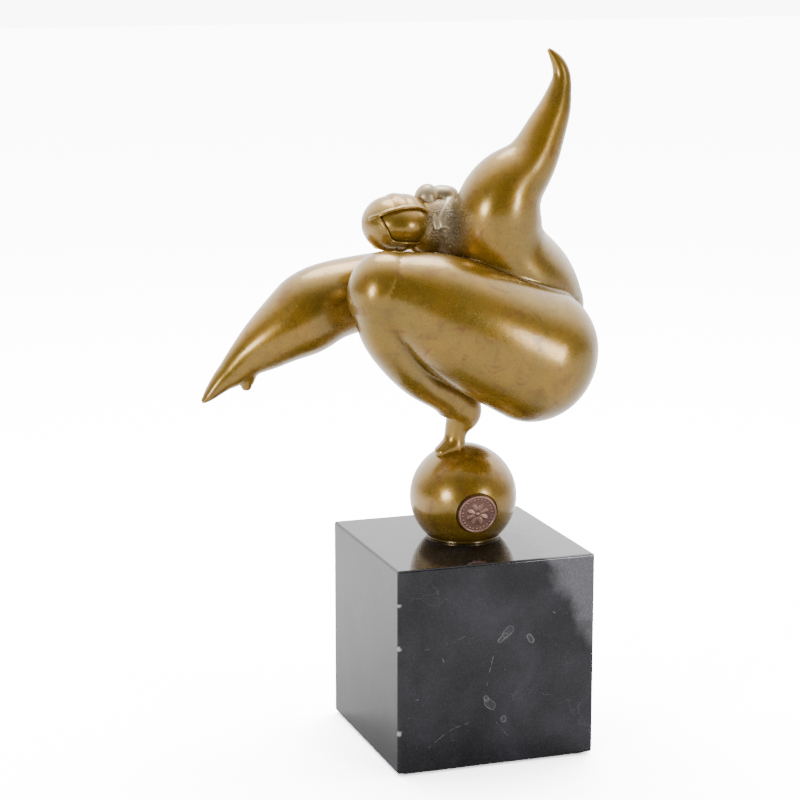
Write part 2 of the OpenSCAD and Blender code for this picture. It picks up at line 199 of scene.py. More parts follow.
# Each vein has its start and end on the face, across and up, its width, and its hollow or 0.
VEINS_FRONT = [((3.6, 53.4), (5.4, 55.4), 0.3, 1.5), ((1.4, 50.8), (3.4, 53.2), 0.3, 0.9),
               ((1.4, 50.8), (-1.7, 45.9), 0.24, 0),
               ((-1.7, 45.9), (-3.4, 38.5), 0.2, 0), ((-3.4, 38.5), (-4.5, 31.6), 0.2, 0), ((-4.5, 28.6),
                       (-4.2, 28.0), 0.32, 0.9),
               ((-3.6, 26.6), (-2.0, 24.8), 0.26, 1.5), ((-1.5, 23.4), (0.2, 17.4), 0.2, 0), ((3.0, 19.0),
                       (3.1, 18.6), 0.32, 1.0),
               ((13.2, 51.4), (14.2, 49.8), 0.34, 1.0), ((-30.5, 50.1), (-22.0, 51.2), 0.14,
                                                         0), ((-22.0, 51.2), (-13.4, 54.0), 0.14, 0),
               ((-34.0, 6.5), (-22.0, 15.0), 0.16, 0), ((-22.0, 15.0), (-8.0, 21.0), 0.16,
                                                        0), ((-8.0, 21.0), (-2.4, 24.6), 0.16, 0),
               ((-22.5, 46.0), (-21.8, 44.4), 0.3, 0), ((-34.6, 29.6), (-32.6, 30.4), 0.3,
                                                        0), ((-19.2, 12.3), (-17.6, 12.3), 0.36, 0),
               ((-36.4, 23.6), (-36.0, 23.8), 0.4, 0), ((23.0, 60.5), (24.0, 59.8), 0.3, 0), ((28.5, 59.6),
                       (29.2, 58.8), 0.3, 0),
               ((3.0, 39.4), (3.2, 39.0), 0.3, 0), ((0.2, 17.0), (8.0, 9.0), 0.12, 0), ((14.0, 30.0),
                                                                                        (24.0, 26.0), 0.1, 0)]
VEINS_LEFT = [((-26.0, 31.0), (-20.0, 23.0), 0.2, 0), ((-20.0, 23.0), (-17.0, 15.0), 0.16, 0),
              ((6.0, 59.0), (12.0, 51.0), 0.16, 0), ((12.0, 51.0), (13.0, 45.0), 0.16, 0)]


def black_marble():
    """Near-black stone: grey clouds, fine ground veins, and a few white veins placed one by one.

    A placed vein is the distance from a wobbled position to a straight piece of it, under its
    width, times a patchy noise. Lengths inside the shader are metres.
    """
    stone = Shader("black marble")
    wobble = stone.node("ShaderNodeTexNoise")
    wobble.inputs["Scale"].default_value = 140
    wobble.inputs["Detail"].default_value = 3
    stone.feed(wobble.inputs["Vector"], stone.place)
    shift = stone.vector("SUBTRACT", wobble.outputs["Color"], (0.5, 0.5, 0.5))
    wobbled = stone.vector("ADD", stone.place, stone.vector("SCALE", shift, 0.0022))

    front = left = -block_half * MM
    pieces = []
    for start, end, width, hollow in VEINS_FRONT:
        pieces.append(((start[0] * MM, front, start[1] * MM), (end[0] * MM, front, end[1] * MM), width * MM,
                       hollow * MM))
    for start, end, width, hollow in VEINS_LEFT:
        pieces.append(((left, start[0] * MM, start[1] * MM), (left, end[0] * MM, end[1] * MM), width * MM,
                       hollow * MM))
    veins = 0.0
    for start, end, width, hollow in pieces:
        start, end = np.array(start), np.array(end)
        run = end - start
        offset = stone.vector("SUBTRACT", wobbled, tuple(start))
        share = stone.math("DIVIDE", stone.vector("DOT_PRODUCT", offset, tuple(run), "Value"),
                           float(run @ run))
        clamped = stone.math("MINIMUM", stone.math("MAXIMUM", share, 0.0), 1.0)
        along = stone.node("ShaderNodeVectorMath", operation="SCALE")
        along.inputs[0].default_value = tuple(run)
        stone.feed(along.inputs["Scale"], clamped)
        away = stone.vector("LENGTH", stone.vector("SUBTRACT", offset, along.outputs[0]), out="Value")
        line = stone.ramp(stone.math("ABSOLUTE", stone.math("SUBTRACT", away, hollow)), width, width * 0.1)
        if hollow:
            line = stone.math("MAXIMUM", line, stone.ramp(away, hollow, hollow * 0.6, 0.0, 0.2))
        veins = stone.math("MAXIMUM", veins, line)
    patches = stone.ramp(stone.noise(500, 3), 0.36, 0.6, 0.3, 0.62)
    veins = stone.math("MULTIPLY", veins, patches)

    hairlines = stone.node("ShaderNodeTexVoronoi", feature="DISTANCE_TO_EDGE")
    hairlines.inputs["Scale"].default_value = 34
    stone.feed(hairlines.inputs["Vector"],
               stone.vector("ADD", stone.place, stone.vector("SCALE", shift, 0.022)))
    thin = stone.ramp(hairlines.outputs["Distance"], 0.014, 0.0)
    sparse = stone.ramp(stone.noise(26, 3), 0.52, 0.68)
    thin = stone.math("MULTIPLY", stone.math("MULTIPLY", thin, sparse), 0.16)

    clouds = stone.ramp(stone.noise(32, 6, 0.62, 0.5), 0.34, 0.8)
    grain = stone.ramp(stone.noise(1100, 3, 0.6), 0.4, 0.8)
    colour = stone.mix(clouds, linear(10, 10, 13), linear(50, 49, 56))
    colour = stone.mix(stone.math("MULTIPLY", grain, 0.16), colour, linear(84, 83, 90))
    # Painted sheen: the stone is painted paler beyond a ragged line across the upper right of the front, as a
    # reflection of light.
    ragged = stone.vector("ADD", stone.place, stone.vector("SCALE", shift, 0.012))
    past = stone.vector("DOT_PRODUCT", stone.vector("SUBTRACT", ragged, (27 * MM, front, 70 * MM)),
                        (0.88, -0.05, 0.47), "Value")
    pale = stone.math("MULTIPLY", stone.ramp(past, -0.004, 0.005), stone.ramp(grain, 0.0, 1.0, 0.55, 0.8))
    colour = stone.mix(pale, colour, linear(124, 123, 128))
    colour = stone.mix(thin, colour, linear(120, 120, 124))
    colour = stone.mix(veins, colour, linear(132, 131, 132))
    nicks = stone.attribute("nick")
    colour = stone.mix(nicks, colour, linear(176, 174, 168))
    rough = stone.ramp(nicks, 0.0, 1.0, 0.07, 0.6)
    fine = stone.bump(stone.noise(60, 2), 0.00012, 0.5, stone.bump(stone.noise(420, 3), 0.000016, 0.6))
    return stone.finish(Base_Color=colour, Roughness=rough, IOR=1.46, Normal=fine)


def marble_block():
    """The outline runs round the block, and its profile goes up the bore, over the top, down the side,
    under the foot and into the pocket. A ring is a circle at the bore and a rounded square outside."""
    anchor, out = square_outline(30, 6)
    polar = np.arctan2(anchor[:, 1] + 0.02 * out[:, 1], anchor[:, 0] + 0.02 * out[:, 0])
    circle = np.stack([np.cos(polar), np.sin(polar)], 1)
    centre = np.array([axis_x, axis_y])
    low, high, support = block_low[2], block_high[2], 0.25
    flat_half = block_half - BLOCK_EDGE

    def round_ring(radius, height):
        return np.column_stack([centre + radius * circle, np.full(len(circle), height)])

    def square_ring(half, height):
        edge = max(CORNER_RADIUS - (block_half - half), 0.05)
        return np.column_stack([(half - edge) * anchor + edge * out, np.full(len(anchor), height)])

    lean = np.radians(np.linspace(0, 90, 6))
    top = [square_ring(flat_half + BLOCK_EDGE * math.sin(a), high - BLOCK_EDGE * (1 - math.cos(a)))
           for a in lean]
    foot = [square_ring(flat_half + BLOCK_EDGE * math.cos(a), low + BLOCK_EDGE * (1 - math.sin(a)))
            for a in lean]
    side = [square_ring(block_half, z)
            for z in np.linspace(high - BLOCK_EDGE - support, low + BLOCK_EDGE + support, 96)]
    rings = ([round_ring(BORE_RADIUS, high), round_ring(BORE_RADIUS + 6, high),
              square_ring(flat_half - support, high)]
             + top + side + foot
             + [square_ring(flat_half - support, low), round_ring(POCKET_RADIUS, low),
                round_ring(POCKET_RADIUS, POCKET_TOP), round_ring(BORE_RADIUS, POCKET_TOP)])
    points = np.concatenate(rings)
    corner = np.array([-block_half, -block_half])
    from_corner = np.linalg.norm(points[:, :2] - corner, axis=1)
    nick = np.zeros(len(points))
    for height, half, depth in NICKS:
        reach = np.hypot((points[:, 2] - height) / half, from_corner / 1.3)
        dent = np.clip(1 - reach, 0, 1) ** 0.6
        points[:, :2] += (dent * depth)[:, None] * np.array([0.7, 0.7])
        nick = np.maximum(nick, np.clip(dent * 2.2, 0, 1))
    faces = closed_grid(len(rings), len(anchor), True)[:, ::-1]
    piece = add_piece("marble_block", points, faces, black_marble(), ["marble_base"], 40)
    piece.data.attributes.new("nick", "FLOAT", "POINT").data.foreach_set("value", nick.astype(np.float32))
    return piece


marble_block()

# ---------------------------------------------------------------------------------------------
# Felt pad. A square of dark wool felt glued under the block, set in from its edges and cut
# round at the corners, with a soft fuzzy face and an edge that has been pressed thinner.
# ---------------------------------------------------------------------------------------------
felt_low, felt_high = (np.array(c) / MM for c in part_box("felt_pad"))
felt_half = (felt_high[0] - felt_low[0]) / 2


def dark_felt():
    """Matted wool: short crossed fibres by two stretched noises, pale lint, and a fuzzy sheen."""
    felt = Shader("dark wool felt")
    fibres = felt.noise(2600, 5, 0.7, 2.0)
    mats = felt.noise(240, 4, 0.6, 1.0)
    colour = felt.mix(fibres, linear(16, 17, 19), linear(44, 44, 48))
    colour = felt.mix(felt.ramp(mats, 0.55, 0.8), colour, linear(60, 59, 60))
    fuzz = felt.bump(fibres, 0.00025, 0.8, felt.bump(mats, 0.0003, 0.5))
    return felt.finish(Base_Color=colour, Roughness=0.95, Sheen_Weight=0.5, Sheen_Roughness=0.6,
                       Specular_IOR_Level=0.2, Normal=fuzz)


def felt_pad():
    """A closed ring grid: rounded squares from the middle of the top, round the edge, to the middle below."""
    anchor, out = square_outline(24, 5)
    low, high, corner = felt_low[2], felt_high[2], 2.0
    rows = [(0.04, high), (0.35, high), (0.7, high), (0.97, high), (0.992, high - 0.12), (1.0, high - 0.4),
            (0.999, low + 0.3), (0.99, low + 0.05), (0.97, low), (0.7, low), (0.35, low), (0.04, low)]
    rings = []
    for share, height in rows:
        rim = felt_half * share
        edge = corner * share
        flat = (rim - edge) * anchor + edge * out
        if share > 0.98:
            ripple = 0.06 * np.sin(9 * np.arctan2(flat[:, 1], flat[:, 0]) + 3 * height)
            flat = flat * (1 - (0.06 - ripple)[:, None] / felt_half)
        rings.append(np.column_stack([flat, np.full(len(flat), height)]))
    count = len(anchor)
    points = np.concatenate(rings + [np.array([[0, 0, high], [0, 0, low]])])
    turn = np.arange(count)
    after = (turn + 1) % count
    base = (len(rows) - 1) * count
    caps = [np.stack([np.full(count, len(rows) * count), turn, after], 1),
            np.stack([np.full(count, len(rows) * count + 1), base + after, base + turn], 1)]
    pad = add_piece("felt", points, [closed_grid(len(rows), count, False)[:, ::-1]] + caps, dark_felt(),
                    ["felt_pad"], 50)


felt_pad()

# ---------------------------------------------------------------------------------------------
# Fixings. A steel stud is screwed into a brass plate brazed in the ball, hangs through the
# marble, and is pulled up by a nut, a split washer and a flat washer in the pocket below. A
# steel pin holds the ankle to the ball. All of them are out of sight when the piece stands.
# ---------------------------------------------------------------------------------------------
THREAD_PITCH = 1.0
THREAD_DEPTH = 0.32

stud_low, stud_high = (np.array(c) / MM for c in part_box("stud"))


def turned_metal(name, dark, light, rough, tarnish):
    """Cut metal: rings left by the tool down its height, a mottled tarnish, and tiny dents."""
    metal = Shader(name)
    rings = metal.node("ShaderNodeTexWave", wave_type="BANDS", bands_direction="Z")
    rings.inputs["Scale"].default_value = 900
    rings.inputs["Distortion"].default_value = 1.5
    metal.feed(rings.inputs["Vector"], metal.place)
    stain = metal.ramp(metal.noise(260, 5, 0.6, 0.4), 0.42, 0.7)
    colour = metal.mix(metal.noise(700, 4), dark, light)
    colour = metal.mix(metal.math("MULTIPLY", stain, 0.6), colour, tarnish)
    uneven = metal.ramp(metal.noise(1200, 3), 0.3, 0.7, rough - 0.07, rough + 0.12)
    tooling = metal.bump(rings.outputs["Fac"], 0.00002, 0.4, metal.bump(metal.noise(500, 3), 0.00003, 0.3))
    return metal.finish(Base_Color=colour, Metallic=1.0, Roughness=uneven, Normal=tooling)


bright_steel = turned_metal("zinc-plated steel", linear(150, 152, 156), linear(196, 198, 200), 0.3,
                            linear(112, 108, 100))
brazed_brass = turned_metal("brazed brass", linear(176, 138, 62), linear(214, 180, 98), 0.28,
                            linear(120, 84, 44))


def threaded_stud():
    """Radius of a rod by turn and height: a ridged thread that climbs one pitch each turn, faded to a
    chamfer at both ends."""
    around = 28
    radius = (stud_high[0] - stud_low[0]) / 2
    centre = (stud_high[:2] + stud_low[:2]) / 2
    length = stud_high[2] - stud_low[2]
    height = np.linspace(0, length, int(length / THREAD_PITCH * 6))
    turn = np.linspace(0, 2 * math.pi, around, endpoint=False)
    z, t = np.meshgrid(height, turn, indexing="ij")
    phase = (z / THREAD_PITCH - t / (2 * math.pi)) % 1.0
    groove = THREAD_DEPTH * np.abs(2 * phase - 1) ** 1.3
    chamfer = np.clip(0.7 - np.minimum(z, length - z), 0, 0.7)
    r = radius - np.maximum(groove, chamfer)
    points = np.column_stack([(centre[0] + r * np.cos(t)).ravel(), (centre[1] + r * np.sin(t)).ravel(),
                              (stud_low[2] + z).ravel()])
    count = len(points)
    points = np.vstack([points, [*centre, stud_low[2]], [*centre, stud_high[2]]])
    side = np.arange(around)
    after = (side + 1) % around
    last = count - around
    caps = [np.stack([np.full(around, count), after, side], 1),
            np.stack([np.full(around, count + 1), last + side, last + after], 1)]
    add_piece("stud_thread", points, [closed_grid(len(height), around, False)] + caps, bright_steel,
              ["stud"], 55)


threaded_stud()
for name, metal in (("stud_nut", bright_steel), ("flat_washer", bright_steel), ("split_washer", bright_steel),
                    ("ankle_pin", bright_steel), ("anchor_plate", brazed_brass)):
    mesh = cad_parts[name].data
    mesh.materials.clear()
    mesh.materials.append(metal)

# ---------------------------------------------------------------------------------------------
# Ball. A hollow bronze ball, polished, on a low turned collar that sits flat on the marble. A
# round seat is bored into its front, tipped a little down, for the seal.
# ---------------------------------------------------------------------------------------------
BALL_WALL = 4.0
COLLAR_RADIUS = 14.76
COLLAR_HEIGHT = 0.6
PLATE_DEPTH = 5.0
SEAL_TILT = 8.0
SEAL_TURN = -4.0
SEAT_RADIUS = 8.35
SEAT_DEPTH = 2.3

base_top = block_high[2]
ball_radius = (ball_high[0] - ball_low[0]) / 2
ball_centre = np.array([(ball_low[0] + ball_high[0]) / 2, ball_high[1] - ball_radius, ball_high[2]
                        - ball_radius])
ball_top = ball_centre + [0, 0, ball_radius]


def patinated_bronze(name, dull_with_sheen=0.0):
    """Cast bronze, chased, patinated olive-brown and waxed.

    The brown turns to olive and to red-brown in clouds, is darker in the creases, partly as patina and
    partly as painted shade, grey where the metal was chased, and is dotted with casting pits. The wax is
    uneven. The last argument makes the casting rougher and mixes its colour towards a pale grey as a
    painted sheen.
    """
    cast = Shader(name)
    big = cast.noise(38, 5, 0.55, 0.6)
    mid = cast.noise(150, 5, 0.6, 0.8)
    fine = cast.noise(900, 4, 0.65)
    colour = cast.mix(cast.ramp(big, 0.36, 0.64), linear(158, 118, 22), linear(140, 110, 28))
    colour = cast.mix(cast.ramp(mid, 0.5, 0.74, 0.0, 0.7), colour, linear(120, 70, 12))
    colour = cast.mix(cast.ramp(cast.noise(95, 4, 0.6, 1.4), 0.5, 0.76, 0.0, 0.5), colour,
                      linear(112, 92, 14))
    colour = cast.mix(cast.ramp(fine, 0.46, 0.8, 0.0, 0.22), colour, linear(84, 54, 8))
    colour = cast.mix(cast.ramp(cast.noise(520, 3, 0.6), 0.62, 0.76, 0.0, 0.3), colour, linear(170, 122, 26))
    # Painted shade and patina: darker in the creases where the forms meet.
    crease_shade_and_patina = cast.attribute("crease_shade_and_patina")
    colour = cast.mix(cast.math("MULTIPLY", crease_shade_and_patina, 0.62), colour, linear(34, 20, 6))
    chased = cast.attribute("chased")
    colour = cast.mix(cast.math("MULTIPLY", chased, 0.75), colour, linear(84, 76, 58))
    # Painted sheen: with the last argument the colour is mixed towards a pale grey, standing for the bright
    # room reflected; the roughness rises too.
    if dull_with_sheen:
        colour = cast.mix(dull_with_sheen, colour, linear(186, 180, 158))
    rough = cast.ramp(mid, 0.35, 0.7, 0.26 + 0.2 * dull_with_sheen, 0.36 + 0.2 * dull_with_sheen)
    wax = cast.ramp(cast.noise(70, 4, 0.6), 0.35, 0.7, 0.14 + 0.2 * dull_with_sheen, 0.24 + 0.2 * dull_with_sheen)
    pits = cast.ramp(cast.noise(1500, 2, 0.5), 0.66, 0.78)
    skin = cast.bump(cast.noise(60, 3, 0.5), 0.00035, 0.35)
    skin = cast.bump(cast.noise(420, 4, 0.6), 0.00006 * (1 + 3 * dull_with_sheen), 0.5, skin)
    skin = cast.bump(pits, -0.00004, 0.6, skin)
    hatch = cast.node("ShaderNodeTexWave", wave_type="BANDS", bands_direction="DIAGONAL")
    for key, value in (("Scale", 420), ("Distortion", 9), ("Detail", 3), ("Detail Scale", 2.5)):
        hatch.inputs[key].default_value = value
    cast.feed(hatch.inputs["Vector"], cast.place)
    skin = cast.bump(cast.math("MULTIPLY", hatch.outputs["Fac"], chased), 0.00016, 0.8, skin)
    return cast.finish(Base_Color=colour, Metallic=0.6, Roughness=rough, Coat_Weight=0.9 - 0.5 * dull_with_sheen,
                       Coat_Roughness=wax, Coat_IOR=1.5, Normal=skin, Coat_Normal=skin)


bronze = patinated_bronze("patinated bronze")


def seal_frame():
    """Axes of the seal: across it, up it, and out of the ball."""
    tilt, turn = math.radians(SEAL_TILT), math.radians(SEAL_TURN)
    across = np.array([math.cos(turn), math.sin(turn), 0.0])
    out = np.array([math.cos(tilt) * math.sin(turn), -math.cos(tilt) * math.cos(turn), -math.sin(tilt)])
    return across, np.cross(out, across), out


def spin_profile(profile, around, centre, axes):
    """Rings from (radius, height) points turned about an axis; a radius of nothing is a single pole."""
    across, up, out = axes
    turn = np.linspace(0, 2 * math.pi, around, endpoint=False)
    spoke = np.cos(turn)[:, None] * across + np.sin(turn)[:, None] * up
    points, faces, start, previous = [], [], 0, None
    for radius, height in profile:
        ring = centre + height * out + radius * spoke if radius > 1e-6 else (centre + height * out)[None]
        here = start + np.arange(len(ring))
        if previous is not None:
            a, b = previous, here
            a2, b2 = np.roll(a, -1), np.roll(b, -1)
            if len(a) == 1:
                faces.append(np.stack([np.full(around, a[0]), b, b2], 1))
            elif len(b) == 1:
                faces.append(np.stack([a, np.full(around, b[0]), a2], 1))
            else:
                faces.append(np.stack([a, b, b2, a2], 1))
        points.append(ring)
        start += len(ring)
        previous = here
    quads = [f for f in faces if f.shape[1] == 4]
    tris = [f for f in faces if f.shape[1] == 3]
    return np.concatenate(points), [np.concatenate(quads)] + ([np.concatenate(tris)] if tris else [])


def bronze_ball():
    """Turned about the upright axis from its top, down the outside, over the collar, up the plate's seat and
    inside; then the seal's seat is bored with a small chamfer, and the pin's hole drilled."""
    upright = (np.array([1.0, 0, 0]), np.array([0, 1.0, 0]), np.array([0, 0, 1.0]))
    pin_low, pin_high = (np.array(c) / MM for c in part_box("ankle_pin"))
    pin_centre = np.array([*(pin_low[:2] + pin_high[:2]) / 2, ball_centre[2]])
    seat = ball_centre[2] - base_top
    plate_radius = (plate_high[0] - plate_low[0]) / 2 + 0.1
    lip = 0.25
    stop = -seat + COLLAR_HEIGHT
    outer = [(ball_radius * math.sin(a), ball_radius * math.cos(a))
             for a in np.linspace(0, math.acos((stop + 0.25) / ball_radius), 110)]
    foot_radius = math.sqrt(ball_radius ** 2 - stop ** 2)
    lean = np.radians(np.linspace(90, 0, 7))
    collar = [(foot_radius + 0.25, stop)] + \
             [(COLLAR_RADIUS - lip + lip * math.cos(a), stop - lip + lip * math.sin(a)) for a in lean] + \
             [(COLLAR_RADIUS, -seat + 0.15), (COLLAR_RADIUS - 0.15, -seat)]
    inner_radius = ball_radius - BALL_WALL
    floor = -seat + PLATE_DEPTH
    bore = [(plate_radius, -seat), (plate_radius, floor)]
    inner = [(inner_radius * math.sin(a), inner_radius * math.cos(a))
             for a in np.linspace(math.acos(floor / inner_radius), 0, 40)]
    points, faces = spin_profile(outer + collar + bore + inner, 220, ball_centre, upright)
    ball = add_piece("ball_casting", points, faces, bronze, ["ball"])

    rim = math.sqrt(ball_radius ** 2 - SEAT_RADIUS ** 2)
    cutter_profile = [(0, ball_radius + 4), (SEAT_RADIUS + 0.5, ball_radius + 4),
                      (SEAT_RADIUS + 0.5, rim + 0.15),
                      (SEAT_RADIUS, rim - 0.3), (SEAT_RADIUS, ball_radius - SEAT_DEPTH + 0.3),
                      (SEAT_RADIUS - 0.3, ball_radius - SEAT_DEPTH), (0, ball_radius - SEAT_DEPTH)]
    cut_points, cut_faces = spin_profile(cutter_profile, 160, ball_centre, seal_frame())
    drill_points, drill_faces = spin_profile([(0, ball_radius + 3), (1.6, ball_radius + 3),
                                              (1.6, ball_radius - 9),
                                              (0, ball_radius - 9)], 32, pin_centre, upright)
    for label, tool_points, tool_faces in (("seat_cutter", cut_points, cut_faces),
                                           ("drill", drill_points, drill_faces)):
        tool = add_piece(label, tool_points, tool_faces, bronze)
        cut = ball.modifiers.new("cut", "BOOLEAN")
        cut.operation, cut.solver, cut.object = "DIFFERENCE", "EXACT", tool
        shaped = bpy.data.meshes.new_from_object(ball.evaluated_get(bpy.context.evaluated_depsgraph_get()))
        ball.modifiers.clear()
        ball.data = shaped
        bpy.data.objects.remove(tool)
    # Painted shade: the ball darkens over its lowest 3.5 mm, where it meets the marble.
    foot_contact_shade = np.clip(1 - (read_points(ball.data)[:, 2] - base_top) / 3.5, 0, 1).astype(np.float32)
    ball.data.attributes.new("crease_shade_and_patina", "FLOAT", "POINT").data.foreach_set("value", foot_contact_shade)
    fix_normals(ball, lambda p: p - ball_centre,
                lambda p: np.abs(np.linalg.norm(p - ball_centre, axis=1) - ball_radius) < 2e-3)
    return ball


def read_points(mesh):
    points = np.empty(len(mesh.vertices) * 3)
    mesh.vertices.foreach_get("co", points)
    return points.reshape(-1, 3) / MM


def fix_normals(piece, direction, on_surface):
    """Corner normals: the true surface's where the whole face lies on it, else the face's own."""
    mesh = piece.data
    points = read_points(mesh)
    lie = on_surface(points)
    true = direction(points)
    true /= np.maximum(np.linalg.norm(true, axis=1), 1e-9)[:, None]
    corner = np.empty(len(mesh.loops), np.int32)
    mesh.loops.foreach_get("vertex_index", corner)
    total = np.empty(len(mesh.polygons), np.int32)
    mesh.polygons.foreach_get("loop_total", total)
    flat = np.empty(len(mesh.polygons) * 3)
    mesh.polygons.foreach_get("normal", flat)
    face = np.repeat(np.arange(len(total)), total)
    flat = flat.reshape(-1, 3)
    whole = np.ones(len(total), bool)
    np.logical_and.at(whole, face, lie[corner])
    mesh.set_sharp_from_angle(angle=math.radians(30))
    smooth = np.empty(len(mesh.loops) * 3)
    mesh.corner_normals.foreach_get("vector", smooth)
    normals = np.where(whole[face][:, None], true[corner], smooth.reshape(-1, 3))
    mesh.normals_split_custom_set(normals)


bronze_ball()

# ---------------------------------------------------------------------------------------------
# Seal. A struck copper disc, soldered in the ball's seat: a raised rim, a ring of beads, and an
# eight-petalled rosette in the middle. It has toned to a reddish brown, darker in its hollows.
# ---------------------------------------------------------------------------------------------
SEAL_RADIUS = 7.75
SEAL_THICKNESS = 1.5
SEAL_RELIEF = 0.45
BEADS = 26
PETALS = 8


def toned_copper():
    """Copper toned brown: darker where the attribute says low ground, paler on the struck relief."""
    copper = Shader("toned copper")
    high = copper.attribute("raised")
    colour = copper.mix(copper.noise(400, 5, 0.6), linear(112, 84, 76), linear(138, 104, 92))
    colour = copper.mix(copper.math("MULTIPLY", high, 0.65), colour, linear(196, 152, 132))
    colour = copper.mix(copper.ramp(copper.noise(160, 4), 0.5, 0.72, 0.0, 0.5), colour, linear(92, 72, 70))
    grain = copper.bump(copper.noise(2600, 3), 0.00003, 0.7, copper.bump(copper.noise(600, 3), 0.00005, 0.5))
    return copper.finish(Base_Color=colour, Metallic=0.75,
                         Roughness=copper.ramp(high, 0.0, 1.0, 0.55, 0.36), Normal=grain)


def struck_seal():
    """Height by radius and turn on a polar grid: a rim and a rounded step, beads as domes, and petals as
    ridged leaves round a boss; then the edge and a flat back."""
    around, steps = 260, 66
    radius = np.linspace(0.06, SEAL_RADIUS - 0.18, steps)
    turn = np.linspace(0, 2 * math.pi, around, endpoint=False)
    r, t = np.meshgrid(radius, turn, indexing="ij")
    rim = np.clip((r - (SEAL_RADIUS - 0.95)) / 0.25, 0, 1)
    height = rim * rim * (3 - 2 * rim) * SEAL_RELIEF
    bead_ring = SEAL_RADIUS - 1.55
    bead_turn = (t * BEADS / (2 * math.pi)) % 1.0 - 0.5
    away = np.hypot(r - bead_ring, bead_turn * 2 * math.pi / BEADS * bead_ring)
    height = np.maximum(height, 0.38 * np.sqrt(np.clip(1 - (away / 0.42) ** 2, 0, 1)))
    petal_turn = ((t * PETALS / (2 * math.pi)) % 1.0 - 0.5) * 2 * math.pi / PETALS
    across, out = r * np.sin(petal_turn), r * np.cos(petal_turn)
    half = 1.15 * np.sqrt(np.clip(1 - ((out - 2.9) / 1.75) ** 2, 0, 1)) + 1e-6
    leaf = np.clip(1 - np.abs(across) / half, 0, 1)
    height = np.maximum(height, 0.4 * leaf ** 0.45 * (1 - 0.35 * np.exp(-(across / 0.12) ** 2)))
    height = np.maximum(height, 0.42 * np.sqrt(np.clip(1 - (r / 0.95) ** 2, 0, 1)))
    axis = seal_frame()
    seat = ball_radius - SEAT_DEPTH
    face = seat + SEAL_THICKNESS
    spoke = np.cos(turn)[:, None] * axis[0] + np.sin(turn)[:, None] * axis[1]
    front = ball_centre + (face + height)[..., None] * axis[2] + r[..., None] * spoke[None]
    sides = [ball_centre + h * axis[2] + e * spoke for e, h in
             ((SEAL_RADIUS, face + SEAL_RELIEF - 0.18), (SEAL_RADIUS, seat + 0.05),
              (SEAL_RADIUS - 0.2, seat))]
    points = np.concatenate([front.reshape(-1, 3)] + sides
                            + [(ball_centre + face * axis[2] + 0.42 * axis[2])[None],
                                                             (ball_centre + seat * axis[2])[None]])
    rows = steps + 3
    ring = np.arange(around)
    after = (ring + 1) % around
    last = (rows - 1) * around
    caps = [np.stack([np.full(around, rows * around), ring, after], 1),
            np.stack([np.full(around, rows * around + 1), last + after, last + ring], 1)]
    seal = add_piece("seal_disc", points, [closed_grid(rows, around, False)[:, ::-1]] + caps,
                     toned_copper(),
                     ["seal"])
    raised = np.zeros(len(points), np.float32)
    raised[:steps * around] = np.clip(height.ravel() / 0.4, 0, 1)
    seal.data.attributes.new("raised", "FLOAT", "POINT").data.foreach_set("value", raised)


struck_seal()

# ---------------------------------------------------------------------------------------------
# Figure castings. The standing leg, the extended leg, the torso with the neck and shoulders,
# the raised arm and the far arm are cast in bronze, fitted and welded, and the welds are
# chased smooth. Sizes are millimetres from the top of the ball.
# ---------------------------------------------------------------------------------------------
BODY_STEP = 1.0
THIGH = [[-38.5, -17, 68.6, 13, 12.8], [-21, -18.5, 60.4, 19, 20.6], [0, -19.5, 49, 23, 24.7],
         [22.4, -19.5, 38, 24.5, 26.8]]
CALF = [[-43, -15.5, 62, 11, 8], [-39.5, -15, 50.5, 10.5, 8.5], [-33.5, -13, 41.2, 10, 8.3],
        [-26.5, -10.5, 33.8, 9, 8.2], [-18.5, -7, 27, 8, 7.6], [-7.6, -4, 20.9, 8, 8.2],
        [-1.8, -2.8, 13.4, 7, 8.1], [-3.5, -2.4, 7.5, 5, 5], [-4.9, -2.4, 0.5, 4.2, 4.2]]
FOOT = [[-10.4, -2.4, -2.2, 3.6, 2.6], [-7.5, -2.4, -0.8, 4.2, 3.4], [-4.6, -2.4, -0.2, 4.2, 3.8]]
EXTENDED = [[20, 20.5, 46, 19, 20], [-8, 22, 57, 18, 18], [-31.3, 22.5, 59.5, 15.3, 15.3],
            [-51, 19.5, 56.6, 15, 15.8],
            [-61, 18.5, 51.5, 14.5, 15.8], [-69.6, 18.5, 46.2, 13, 13.2], [-78.5, 18.5, 40.3, 9.8, 10.3],
            [-84.6, 18.5, 35.8, 7.2, 7.8], [-90, 18.5, 31, 5.6, 6], [-94, 18.5, 27.9, 4.6, 4.5],
            [-98.9, 18.5, 23.1, 3.2, 2.6], [-101.7, 18.5, 20.4, 1.8, 1.1]]
HEEL = [[-84, 18.5, 31, 4, 4.2], [-84.2, 18.5, 27.5, 3.2, 3.2], [-84.4, 18.5, 25.4, 2.4, 2.2]]
TORSO = [[30, 1.5, 54, 21, 20], [25, 1, 64, 24, 20], [17, -1, 74, 24, 18], [9, -3.5, 84, 20, 15.5]]
ARM = [[28.5, -15.5, 156.1, 0.9, 0.9], [31.8, -15.5, 152, 2.4, 2.5], [33.8, -15.5, 146.5, 3.4, 3.5],
       [33, -15.5, 140.3, 4.7, 4.8], [30.9, -15.5, 133.2, 6.3, 6.5], [27.2, -15.5, 125, 8, 8.1],
       [23.3, -15.5, 117, 9.8, 9.6], [18.6, -15, 110.6, 12, 11.8], [12.6, -14, 103.5, 15, 15],
       [9.2, -12, 92.5, 17, 17.2], [12, -7, 80, 17, 16]]
